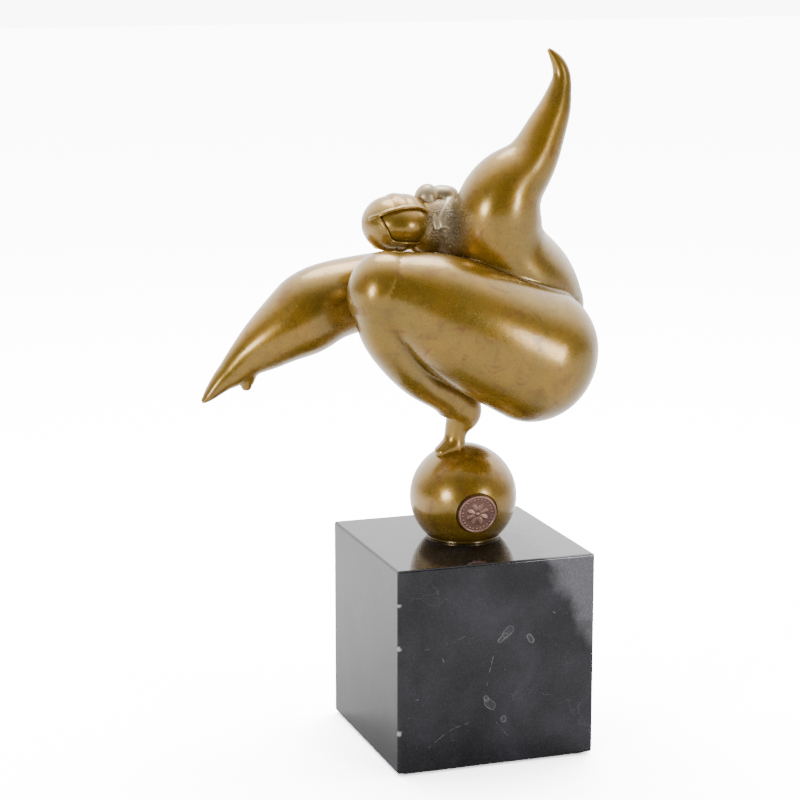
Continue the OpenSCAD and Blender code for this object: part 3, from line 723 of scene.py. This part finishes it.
FAR_ARM = [[10, 7, 86, 9, 12], [5, 14, 87, 8.5, 10], [-3, 19.5, 85.5, 6.5, 7], [-12, 22.5, 83, 4.8, 5],
           [-20, 24, 80.8, 3.6, 3.8], [-28, 24, 78.6, 2.6, 2.4]]
NECK = [[-17, 1.5, 87.4, 8.8, 11], [-10, 1, 88, 9.5, 11], [-2, -1, 86, 12, 13]]
ARM_SEAM = [(18.6, -15, 110.6), (0.55, 0, 0.84)]
NAPE = np.array([-10.5, -8, 89])
NAPE_REACH = np.array([7.5, 12, 9.5])
FAR_ARM_SEAM = [(-1, 18.5, 86), (-0.75, 0.62, -0.2)]


class Limb:
    """Signed distance to a round-ended form swept along a spline of stations.

    A station is x, y, z, half-width, half-thickness.

    The stations are joined by a natural cubic. The nearest point of the path is found by Newton's
    method from the nearest of a few samples, and the section there is an ellipse.
    """

    def __init__(self, stations):
        self.rows = rows = np.array(stations, float)
        count = len(rows)
        system = np.eye(count)
        inner = np.arange(1, count - 1)
        system[inner, inner - 1] = system[inner, inner + 1] = 1
        system[inner, inner] = 4
        turn = np.zeros_like(rows)
        turn[1:-1] = 6 * (rows[2:] - 2 * rows[1:-1] + rows[:-2])
        self.bend = np.linalg.solve(system, turn)

    def at(self, t):
        k = np.clip(np.floor(t).astype(int), 0, len(self.rows) - 2)
        s = (t - k)[:, None]
        q = 1 - s
        a, b, m, n = self.rows[k], self.rows[k + 1], self.bend[k], self.bend[k + 1]
        return (q * a + s * b + ((q**3 - q) * m + (s**3 - s) * n) / 6,
                b - a + ((1 - 3 * q * q) * m + (3 * s * s - 1) * n) / 6, q * m + s * n)

    def __call__(self, points):
        last = len(self.rows) - 1
        samples = np.linspace(0, last, 6 * last + 1)
        path = self.at(samples)[0]
        best = np.full(len(points), 1e18)
        t = np.zeros(len(points))
        for here, row in zip(samples, path):
            away = ((points - row[:3]) ** 2).sum(1)
            nearer = away < best
            best[nearer], t[nearer] = away[nearer], here
        result = np.sqrt(best) - self.at(t)[0][:, 3:].max(1)
        close = result < 14
        result[close] = self.exact(points[close], t[close], last)
        return result

    def exact(self, points, t, last):
        for _ in range(5):
            value, slope, curve = self.at(t)
            off = points - value[:, :3]
            run = (slope[:, :3] ** 2).sum(1)
            turn = np.maximum(run - (off * curve[:, :3]).sum(1), 0.3 * run)
            t = np.clip(t + np.clip((off * slope[:, :3]).sum(1) / turn, -0.3, 0.3), 0, last)
        value, slope, _ = self.at(t)
        off = points - value[:, :3]
        along = slope[:, :3] / np.linalg.norm(slope[:, :3], axis=1)[:, None]
        across = np.array([0, 1, 0]) - along[:, 1:2] * along
        across /= np.linalg.norm(across, axis=1)[:, None]
        up = np.cross(along, across)
        wide, thick = np.maximum(value[:, 3:5], 0.2).T
        ratio = np.sqrt(((off * across).sum(1) / wide) ** 2 + ((off * up).sum(1) / thick) ** 2
                        + ((off * along).sum(1) / np.minimum(wide, thick)) ** 2) + 1e-9
        return np.linalg.norm(off, axis=1) * (1 - 1 / ratio)


class Egg:
    """Near enough the signed distance to an ellipsoid."""

    def __init__(self, centre, radii):
        self.centre, self.radii = np.array(centre, float), np.array(radii, float)

    def __call__(self, points):
        off = points - self.centre
        ratio = np.sqrt(((off / self.radii) ** 2).sum(1)) + 1e-9
        return np.linalg.norm(off, axis=1) * (1 - 1 / ratio)


def join(first, second, fillet):
    """The nearer of two forms, with a cubic fillet where they meet."""
    share = np.maximum(fillet - np.abs(first - second), 0) / fillet
    return np.minimum(first, second) - share**3 * fillet / 6


def cut(form, tool, fillet):
    return -join(-form, tool, fillet)


def net(form, low, high, step):
    """Surface nets: a vertex in each cell that the surface crosses, at the mean of its crossings.

    The form is sampled on a grid five times coarser, and then finely only near its surface.
    """
    coarse = 5
    low, high = np.array(low, float), np.array(high, float)
    size = np.ceil((high - low) / (step * coarse)).astype(int) * coarse + 1
    axes = [low[i] + step * np.arange(size[i]) for i in range(3)]
    rough_axes = [a[::coarse] for a in axes]
    rough = form(np.stack(np.meshgrid(*rough_axes, indexing="ij"), -1).reshape(-1, 3)).reshape([len(a)
            for a in rough_axes])
    nearest = [np.clip(np.round(np.arange(size[i]) / coarse).astype(int), 0, len(rough_axes[i]) - 1)
               for i in range(3)]
    field = rough[np.ix_(*nearest)].astype(np.float32)
    band = np.abs(field) < step * coarse * 1.6
    points = low + step * np.argwhere(band)
    field[band] = np.concatenate([form(points[i:i + 200000]) for i in range(0, len(points), 200000)])
    cells = size - 1
    hits, total = np.zeros(cells, np.float32), np.zeros([*cells, 3], np.float32)

    def corner(offset):
        return field[tuple(slice(o, o + c) for o, c in zip(offset, cells))]

    for axis in range(3):
        first, second = [o for o in range(3) if o != axis]
        for i in (0, 1):
            for j in (0, 1):
                start = [0, 0, 0]
                start[first], start[second] = i, j
                end = list(start)
                end[axis] = 1
                a, b = corner(start), corner(end)
                crossed = (a < 0) != (b < 0)
                share = np.where(crossed, a / np.where(crossed, a - b, 1), 0)
                for k in range(3):
                    total[..., k] += crossed * (start[k] + (share if k == axis else 0))
                hits += crossed
    full = hits > 0
    number = np.zeros(cells, int)
    number[full] = np.arange(full.sum())
    vertices = low + step * (np.argwhere(full) + total[full] / hits[full][:, None])
    inside = field < 0
    faces = []
    for axis in range(3):
        first, second = [(1, 2), (2, 0), (0, 1)][axis]
        before, behind = [slice(None)] * 3, [slice(None)] * 3
        before[axis], behind[axis] = slice(0, -1), slice(1, None)
        edge = np.argwhere(inside[tuple(before)] != inside[tuple(behind)])
        out = inside[tuple(edge.T)]
        quad = []
        for i, j in ((0, 0), (1, 0), (1, 1), (0, 1)):
            cell = edge.copy()
            cell[:, first] -= 1 - i
            cell[:, second] -= 1 - j
            quad.append(number[tuple(cell.T)])
        quad = np.stack(quad, 1)
        quad[~out] = quad[~out][:, ::-1]
        faces.append(quad)
    return vertices, np.concatenate(faces)


def slope_of(form, points, step=0.05):
    return np.stack([(form(points + step * way) - form(points - step * way)) / (2 * step)
                     for way in np.eye(3)], 1)


def settled(form, vertices, faces, rounds, step):
    """Even the mesh out along the surface and pull it back on to the form, a few times."""
    edge = np.concatenate([faces[:, [i, (i + 1) % 4]] for i in range(4)])
    edge = np.concatenate([edge, edge[:, ::-1]])
    count = len(vertices)
    degree = np.bincount(edge[:, 0], minlength=count)[:, None]
    for _ in range(rounds):
        mean = np.stack([np.bincount(edge[:, 0], vertices[edge[:, 1], k], count) for k in range(3)],
                        1) / degree
        vertices = 0.4 * vertices + 0.6 * mean
        slope = slope_of(form, vertices)
        move = -form(vertices)[:, None] * slope / np.maximum((slope**2).sum(1)[:, None], 0.2)
        length = np.linalg.norm(move, axis=1)[:, None]
        vertices = vertices + move * np.minimum(1, 0.8 * step / np.maximum(length, 1e-9))
    return vertices


thigh, calf, foot, extended, torso, arm, far_arm, neck = map(Limb,
        (THIGH, CALF, FOOT, EXTENDED, TORSO, ARM, FAR_ARM, NECK))
hip = Egg((24, 22.5, 38), (24.5, 22.5, 25))
heel = Limb(HEEL)


def seam_height(points, seam):
    way = np.array(seam[1]) / np.linalg.norm(seam[1])
    return (points - np.array(seam[0])) @ way


def limbs_at(points):
    """The distances that every casting's form is made from, in one go."""
    return {"thigh": thigh(points), "calf": calf(points), "foot": foot(points), "extended": extended(points),
            "heel": heel(points), "hip": hip(points), "torso": torso(points), "arm": arm(points),
            "far_arm": far_arm(points), "neck": neck(points)}


def joined_limbs(points, near):
    """The two legs and the upper body, each smooth, with the knee's groove kept sharp."""
    knee = 3 + 11 * np.clip((points[:, 2] - 46) / 12, 0, 1)
    standing = join(join(near["thigh"], near["calf"], knee), near["foot"], 3)
    reaching = join(join(near["extended"], near["heel"], 1.8), near["hip"], 10)
    upper = join(join(near["torso"], near["arm"], 9), join(near["far_arm"], near["neck"], 5), 6)
    return standing, reaching, upper


def body_form(points):
    standing, reaching, upper = joined_limbs(points, limbs_at(points))
    return join(join(standing, reaching, 1.6), upper, 2.2)


def casting_values(points):
    """For each of the five castings, how far a point is from it: the least says whose skin it is."""
    near = limbs_at(points)
    standing = np.minimum(np.minimum(near["thigh"], near["calf"]), near["foot"])
    reaching = np.minimum(np.minimum(near["extended"], near["heel"]), near["hip"])
    past_arm, past_far = seam_height(points, ARM_SEAM), seam_height(points, FAR_ARM_SEAM)
    middle = np.minimum(np.minimum(near["torso"], near["neck"]),
                        np.minimum(np.maximum(near["arm"], past_arm), np.maximum(near["far_arm"], past_far)))
    return np.stack([standing, reaching, middle, np.maximum(near["arm"], -past_arm),
                     np.maximum(near["far_arm"], -past_far)], 1)


def loops_of(edges):
    """The closed loops in a set of directed edges: a label for each edge, the least passed on."""
    nodes, flat = np.unique(edges, return_inverse=True)
    flat = flat.reshape(edges.shape)
    label = np.arange(len(nodes))
    while True:
        low = label.copy()
        np.minimum.at(low, flat[:, 0], label[flat[:, 1]])
        np.minimum.at(low, flat[:, 1], label[flat[:, 0]])
        low = low[low]
        if (low == label).all():
            return label[flat[:, 0]]
        label = low


def capped(vertices, normals, faces):
    """One casting cut from the skin, with each open seam closed by a flange turned in and a fan."""
    used, flat = np.unique(faces, return_inverse=True)
    faces = flat.reshape(faces.shape)
    points, outward = vertices[used], normals[used]
    edge = np.concatenate([faces[:, [i, (i + 1) % 4]] for i in range(4)])
    key, back = edge[:, 0] * len(used) + edge[:, 1], edge[:, 1] * len(used) + edge[:, 0]
    rim = edge[~np.isin(key, back)]
    label = loops_of(rim)
    extra, quads, fans = [], [], []
    start = len(points)
    for mark in np.unique(label):
        own = rim[label == mark]
        ring, place = np.unique(own, return_inverse=True)
        place = place.reshape(own.shape)
        tucked = points[ring] - 0.8 * outward[ring]
        centre = points[ring].mean(0)
        extra += [tucked, centre[None]]
        quads.append(np.stack([own[:, 1], own[:, 0], start + place[:, 0], start + place[:, 1]], 1))
        fans.append(np.stack([start + place[:, 1], start + place[:, 0],
                              np.full(len(own), start + len(ring))], 1))
        start += len(ring) + 1
    return used, np.concatenate([points] + extra), [np.concatenate([faces]
            + quads)] + ([np.concatenate(fans)] if fans else []), len(faces)


def add_skin(name, points, faces, skin_count, outward, marks, stands_for):
    """A casting whose skin takes its normals from the form, so a seam is as sharp as the form."""
    piece = add_piece(name, points + ball_top, faces, bronze, stands_for)
    mesh = piece.data
    for mark, share in marks.items():
        values = np.zeros(len(points), np.float32)
        values[:len(share)] = share
        mesh.attributes.new(mark, "FLOAT", "POINT").data.foreach_set("value", values)
    corner = np.concatenate([f.ravel() for f in faces])
    flat = np.empty(len(mesh.polygons) * 3)
    mesh.polygons.foreach_get("normal", flat)
    sizes = np.concatenate([np.full(len(f), f.shape[1]) for f in faces])
    normals = np.repeat(flat.reshape(-1, 3), sizes, axis=0)
    skin = np.arange(len(corner)) < 4 * skin_count
    normals[skin] = outward[corner[skin]]
    mesh.normals_split_custom_set(normals)
    return piece


def figure_castings():
    skin, faces = net(body_form, (-110, -48, -8), (58, 50, 162), BODY_STEP)
    skin = settled(body_form, skin, faces, 2, BODY_STEP)
    mid = casting_values(skin[faces].mean(1))
    owner = mid.argmin(1)
    edge = np.concatenate([faces[:, [i, (i + 1) % 4]] for i in range(4)])
    face_of = np.tile(np.arange(len(faces)), 4)
    low = np.full(len(skin), 9)
    high = np.full(len(skin), -1)
    np.minimum.at(low, edge[:, 0], owner[face_of])
    np.maximum.at(high, edge[:, 0], owner[face_of])
    on_seam = np.flatnonzero(low != high)
    a, b = low[on_seam], high[on_seam]
    points = skin[on_seam]
    rank = np.arange(len(points))
    for _ in range(4):
        gap = lambda p: (lambda g: g[rank, a] - g[rank, b])(casting_values(p))
        slope = slope_of(gap, points)
        move = -gap(points)[:, None] * slope / np.maximum((slope**2).sum(1)[:, None], 0.2)
        points = points + np.clip(move, -0.5, 0.5)
        slope = slope_of(body_form, points)
        points = points - body_form(points)[:, None] * slope / np.maximum((slope**2).sum(1)[:, None], 0.2)
    drift = np.linalg.norm(points - skin[on_seam], axis=1)
    skin[on_seam] = np.where((drift < 1.2 * BODY_STEP)[:, None], points, skin[on_seam])
    outward = slope_of(body_form, skin)
    outward /= np.linalg.norm(outward, axis=1)[:, None]
    near = limbs_at(skin)
    standing, reaching, upper = joined_limbs(skin, near)
    # Darkness where two forms meet, in the creases: partly patina, partly painted shade.
    forms = np.sort(np.stack([near["thigh"], near["calf"], reaching, upper], 1), 1)
    crease_shade_and_patina = np.clip(1 - (forms[:, 1] + 1.0) / 5.0, 0, 1) ** 1.5
    nape = np.clip(1.6 - np.linalg.norm((skin - NAPE) / NAPE_REACH, axis=1), 0, 1)
    for index, name in enumerate(("standing_leg", "extended_leg", "torso", "raised_arm", "far_arm")):
        used, points, parts, count = capped(skin, outward, faces[owner == index])
        marks = {"crease_shade_and_patina": crease_shade_and_patina[used], "chased": nape[used] if name == "torso" else np.zeros(len(used))}
        add_skin(name + "_casting", points, parts, count, outward[used], marks, [name])


figure_castings()

# ---------------------------------------------------------------------------------------------
# Head and hair. The head is a smooth egg without features, and the hair is a close cap with a
# rolled edge round the face, welded over it. Both are cast and polished like the body.
# ---------------------------------------------------------------------------------------------
HEAD_STEP = 0.5
SKULL = [[-30.6, 1.5, 89.3, 10.8, 9.2], [-27.8, 1.5, 89.6, 11.2, 10], [-25, 1.5, 89.8, 10.8, 9.4]]
HAIR_THICKNESS = 1.6
HAIR_LINE = [[7.8, -7.4], [2.7, -6.9], [-3.2, -6.3], [-6, -4.6], [-7.5, -1.4], [-9.3, 2.2], [-9.2, 4.2],
             [-3.4, 6.5], [3.5, 7],
             [9.2, 5.4], [11.4, 1.8], [11.4, -2.6], [10, -6]]
BROW_LEDGE = [[-12.1, 2.6], [-11, 3.4], [-9.4, 4.1], [-6.5, 5.5]]
HAIR_EDGE = 0.55
SCALP_HALF = (13.4, 12.8, 11.5)
head_centre = np.array([-27.8, 1.5, 89.6])

skull = Limb(SKULL)
face = Egg(head_centre + [1.4, -2.2, -0.2], (10.2, 10.4, 8.0))
scalp = Limb([[x, y, z, wide + HAIR_THICKNESS, thick + HAIR_THICKNESS] for x, y, z, wide, thick in SKULL])


def smooth_line(stations, count, closed=False):
    """A cubic through the stations, sampled evenly in its parameter."""
    rows = np.array(stations, float)
    extra = 3 if closed else 0
    if closed:
        rows = np.vstack([rows[-extra:], rows, rows[:extra + 1]])
    full = np.column_stack([rows, np.zeros((len(rows), 5 - rows.shape[1]))])
    samples = np.linspace(extra, len(rows) - 1 - extra, count)
    return Limb(full).at(samples)[0][:, :rows.shape[1]]


def segment_distance(points, line):
    """Distance to a chain of straight pieces."""
    best = np.full(len(points), 1e9)
    for a, b in zip(line[:-1], line[1:]):
        run = b - a
        share = np.clip((points - a) @ run / (run @ run), 0, 1)
        best = np.minimum(best, np.linalg.norm(points - a - share[:, None] * run, axis=1))
    return best


hair_line = smooth_line(HAIR_LINE, 66, closed=True)


def window_distance(points):
    """Signed distance to the outline of the face opening, in the plane of X and Z."""
    flat = points[:, [0, 2]] - head_centre[[0, 2]]
    line = hair_line
    away = segment_distance(flat, line)
    inside = np.zeros(len(flat), bool)
    for a, b in zip(line[:-1], line[1:]):
        spans = (a[1] > flat[:, 1]) != (b[1] > flat[:, 1])
        inside ^= spans & (flat[:, 0] < (b[0] - a[0]) * (flat[:, 1] - a[1]) / (b[1] - a[1] + 1e-12) + a[0])
    return np.where(inside, -away, away)


def front_of_scalp(line):
    return -SCALP_HALF[1] * np.sqrt(np.clip(1 - (line[:, 0] / SCALP_HALF[0]) ** 2
                                            - (line[:, 1] / SCALP_HALF[2]) ** 2, 0, 1))


def on_scalp(line):
    return head_centre + np.column_stack([line[:, 0], front_of_scalp(line), line[:, 1]])


edge_roll = on_scalp(hair_line)
brow_ledge = on_scalp(smooth_line(BROW_LEDGE, 10))


def hair_form(points):
    """The cap round the skull, opened over the face, with a roll along the opening's edge."""
    opening = np.maximum(window_distance(points), points[:, 1] - head_centre[1])
    cap = cut(cut(scalp(points), opening, 0.8), head_form(points) + 0.15, 0.3)
    roll = np.minimum(segment_distance(points, edge_roll), segment_distance(points, brow_ledge)) - HAIR_EDGE
    return join(cap, roll, 1.0)


def head_form(points):
    """The skull, with the face swelling forward in the opening."""
    return join(skull(points), face(points), 3)


def small_casting(name, form, low, high, step, stands_for, material=None):
    """A casting with no seam, from its own form."""
    skin, faces = net(form, low, high, step)
    skin = settled(form, skin, faces, 2, step)
    outward = slope_of(form, skin)
    outward /= np.maximum(np.linalg.norm(outward, axis=1), 1e-9)[:, None]
    piece = add_skin(name, skin, [faces], len(faces), outward, {}, stands_for)
    if material is not None:
        piece.data.materials[0] = material
    return piece


small_casting("head_casting", head_form, (-46, -16, 74), (-10, 18, 105), HEAD_STEP, ["head"])
small_casting("hair_casting", hair_form, (-46, -16, 74), (-10, 18, 106), HEAD_STEP, ["hair"])

# ---------------------------------------------------------------------------------------------
# Bun. Hair gathered in two lobes at the nape behind the head, with three locks laid down from
# it. It was left rougher from the casting than the rest, and its colour is mixed towards a pale grey,
# a painted sheen standing for the bright room it reflects.
# ---------------------------------------------------------------------------------------------
BUN_LOBES = [((-14.8, 2.6, 98.8), (4.8, 5.2, 5.4)), ((-8.0, 3.0, 100.0), (6.0, 4.4, 3.5))]
LOCKS = [[[-4.6, 2, 99.4], [-6.7, -2.5, 97.4], [-9.6, -6.6, 92.9], [-9.9, -8.6, 88.6], [-6.8, -10, 86.2]],
         [[-7.4, 0.5, 98.4], [-8.8, -3.6, 96.6], [-11.9, -6.4, 92.8], [-12, -8.2, 88.7]],
         [[-13.2, 0.5, 97.6], [-14, -3.4, 95.2], [-14.8, -6.2, 91.6], [-14.4, -7.6, 88]]]
LOCK_RADIUS = 1.1

lobes = [Egg(*lobe) for lobe in BUN_LOBES]
lock_lines = [smooth_line(lock, 14) for lock in LOCKS]


def bun_form(points):
    """Two lobes joined softly, with shallow combed grooves wound round them, and the locks below."""
    turn = np.arctan2(points[:, 2] - 98, points[:, 1] - 3)
    combed = 0.1 * np.sin(3 * turn + 0.5 * points[:, 0])
    form = join(lobes[0](points), lobes[1](points), 1.2) + combed
    for line in lock_lines:
        form = join(form, segment_distance(points, line) - LOCK_RADIUS, 2.4)
    return form


# The bun's bronze: rougher, with a painted pale sheen.
sheen_dull_bronze = patinated_bronze("rough patinated bronze", dull_with_sheen=0.5)
small_casting("bun_casting", bun_form, (-22, -12, 84), (5, 12, 108), 0.4, ["hair_bun"], sheen_dull_bronze)

# ---------------------------------------------------------------------------------------------
# Studio. A pale floor in a room that is dark in front and bright behind and above, with a small
# soft light on each side in front, one above behind, and black cloth in front to be mirrored.
# ---------------------------------------------------------------------------------------------
AZIMUTH, ELEVATION = math.radians(-18.85), math.radians(11.61)
back = np.array([math.sin(AZIMUTH) * math.cos(ELEVATION), -math.cos(AZIMUTH) * math.cos(ELEVATION),
                 math.sin(ELEVATION)])
right = np.array([math.cos(AZIMUTH), math.sin(AZIMUTH), 0])
up = np.cross(back, right)

camera_data = bpy.data.cameras.new("camera")
camera_data.sensor_width = 36
camera_data.lens = 2382 / 800 * 36
camera_data.clip_end = 20
camera = bpy.data.objects.new("camera", camera_data)
bpy.context.scene.collection.objects.link(camera)
facing = np.eye(4)
facing[:3, 0], facing[:3, 1], facing[:3, 2] = right, up, back
facing[:3, 3] = (-24.58 * right + 134.3 * up + 972.5 * back + [0, 0, 1.5]) * MM
camera.matrix_world = Matrix(facing.tolist())
bpy.context.scene.camera = camera

floor_mesh = bpy.data.meshes.new("floor")
floor_mesh.from_pydata([(-6, -6, 0), (6, -6, 0), (6, 6, 0), (-6, 6, 0)], [], [(0, 1, 2, 3)])
floor = bpy.data.objects.new("floor", floor_mesh)
bpy.context.scene.collection.objects.link(floor)
paper = Shader("white paper")
seen = paper.node("ShaderNodeLightPath").outputs["Is Camera Ray"]
# Painted shade: off camera the paper is grey in front and white behind, standing for less light on its front
# half; the camera sees it evenly bright.
behind = paper.ramp(paper.vector("DOT_PRODUCT", paper.place, (-0.2, 0.98, 0), "Value"), -0.08, 0.3)
paper_shaded_in_front = paper.mix(behind, paper.mix(paper.noise(3, 2), (0.44, 0.44, 0.44, 1), (0.5, 0.5, 0.5, 1)),
                        (0.92, 0.92, 0.92, 1))
floor_mesh.materials.append(paper.finish(Base_Color=paper.mix(seen, paper_shaded_in_front, (6.0, 6.0, 6.0, 1)),
                                         Roughness=0.9,
                                         Specular_IOR_Level=0.0))

world = bpy.data.worlds.new("white room")
world.use_nodes = True
room = world.node_tree
backdrop = room.nodes["Background"]
backdrop.inputs["Color"].default_value = (1, 1, 1, 1)
toward_back = room.nodes.new("ShaderNodeVectorMath")
toward_back.operation = "DOT_PRODUCT"
toward_back.inputs[1].default_value = (0.226, 0.662, 0.714)
room.links.new(room.nodes.new("ShaderNodeTexCoord").outputs["Generated"], toward_back.inputs[0])
around = room.nodes.new("ShaderNodeMapRange")
around.interpolation_type = "SMOOTHSTEP"
for key, number in (("From Min", 0.1), ("From Max", 0.8), ("To Min", 0.22), ("To Max", 3.0)):
    around.inputs[key].default_value = number
room.links.new(toward_back.outputs["Value"], around.inputs["Value"])
brightness = room.nodes.new("ShaderNodeMix")
room.links.new(room.nodes.new("ShaderNodeLightPath").outputs["Is Camera Ray"], brightness.inputs[0])
room.links.new(around.outputs["Result"], brightness.inputs[2])
brightness.inputs[3].default_value = 9.0
room.links.new(brightness.outputs[0], backdrop.inputs["Strength"])
bpy.context.scene.world = world


def facing_middle(azimuth, elevation, distance):
    """A place round and up from the front of the figure, turned to face its middle."""
    turn, rise = math.radians(azimuth), math.radians(elevation)
    way = np.array([math.sin(turn) * math.cos(rise), -math.cos(turn) * math.cos(rise), math.sin(rise)])
    side = np.cross([0, 0, 1], way)
    side /= np.linalg.norm(side)
    place = np.eye(4)
    place[:3, 0], place[:3, 1], place[:3, 2] = side, np.cross(way, side), way
    place[:3, 3] = np.array([0, 0, 0.14]) + distance * way
    return Matrix(place.tolist())


def soft_light(name, azimuth, elevation, distance, width, height, watts):
    """An oval light facing the middle of the figure, at an angle round from the front and up."""
    data = bpy.data.lights.new(name, "AREA")
    data.shape, data.size, data.size_y, data.energy = "ELLIPSE", width, height, watts
    lamp = bpy.data.objects.new(name, data)
    bpy.context.scene.collection.objects.link(lamp)
    lamp.matrix_world = facing_middle(azimuth, elevation, distance)
    lamp.visible_camera = False
    return lamp


def dark_card(name, azimuth, elevation, distance, width, height):
    """Black cloth on the camera's side, which the bronze mirrors. The camera doesn't see it."""
    half_width, half_height = width / 2, height / 2
    mesh = bpy.data.meshes.new(name)
    mesh.from_pydata([(-half_width, -half_height, 0), (half_width, -half_height, 0),
                      (half_width, half_height, 0),
                      (-half_width, half_height, 0)], [], [(0, 1, 2, 3)])
    card = bpy.data.objects.new(name, mesh)
    bpy.context.scene.collection.objects.link(card)
    card.matrix_world = facing_middle(azimuth, elevation, distance)
    cloth = Shader(name)
    mesh.materials.append(cloth.finish(Base_Color=cloth.mix(cloth.noise(20), (0.01, 0.01, 0.01, 1),
                                                            (0.02, 0.02, 0.02, 1)),
                                       Roughness=1.0, Specular_IOR_Level=0.0))
    card.visible_camera = False
    card.visible_shadow = False


dark_card("black_cloth", -12, 20, 1.4, 1.4, 1.3)
soft_light("left_softbox", -57, 8, 1.1, 0.3, 0.34, 6)
soft_light("right_softbox", 27, 6, 1.2, 0.26, 0.46, 6)
soft_light("top_softbox", 161, 68, 1.3, 1.0, 0.7, 17)
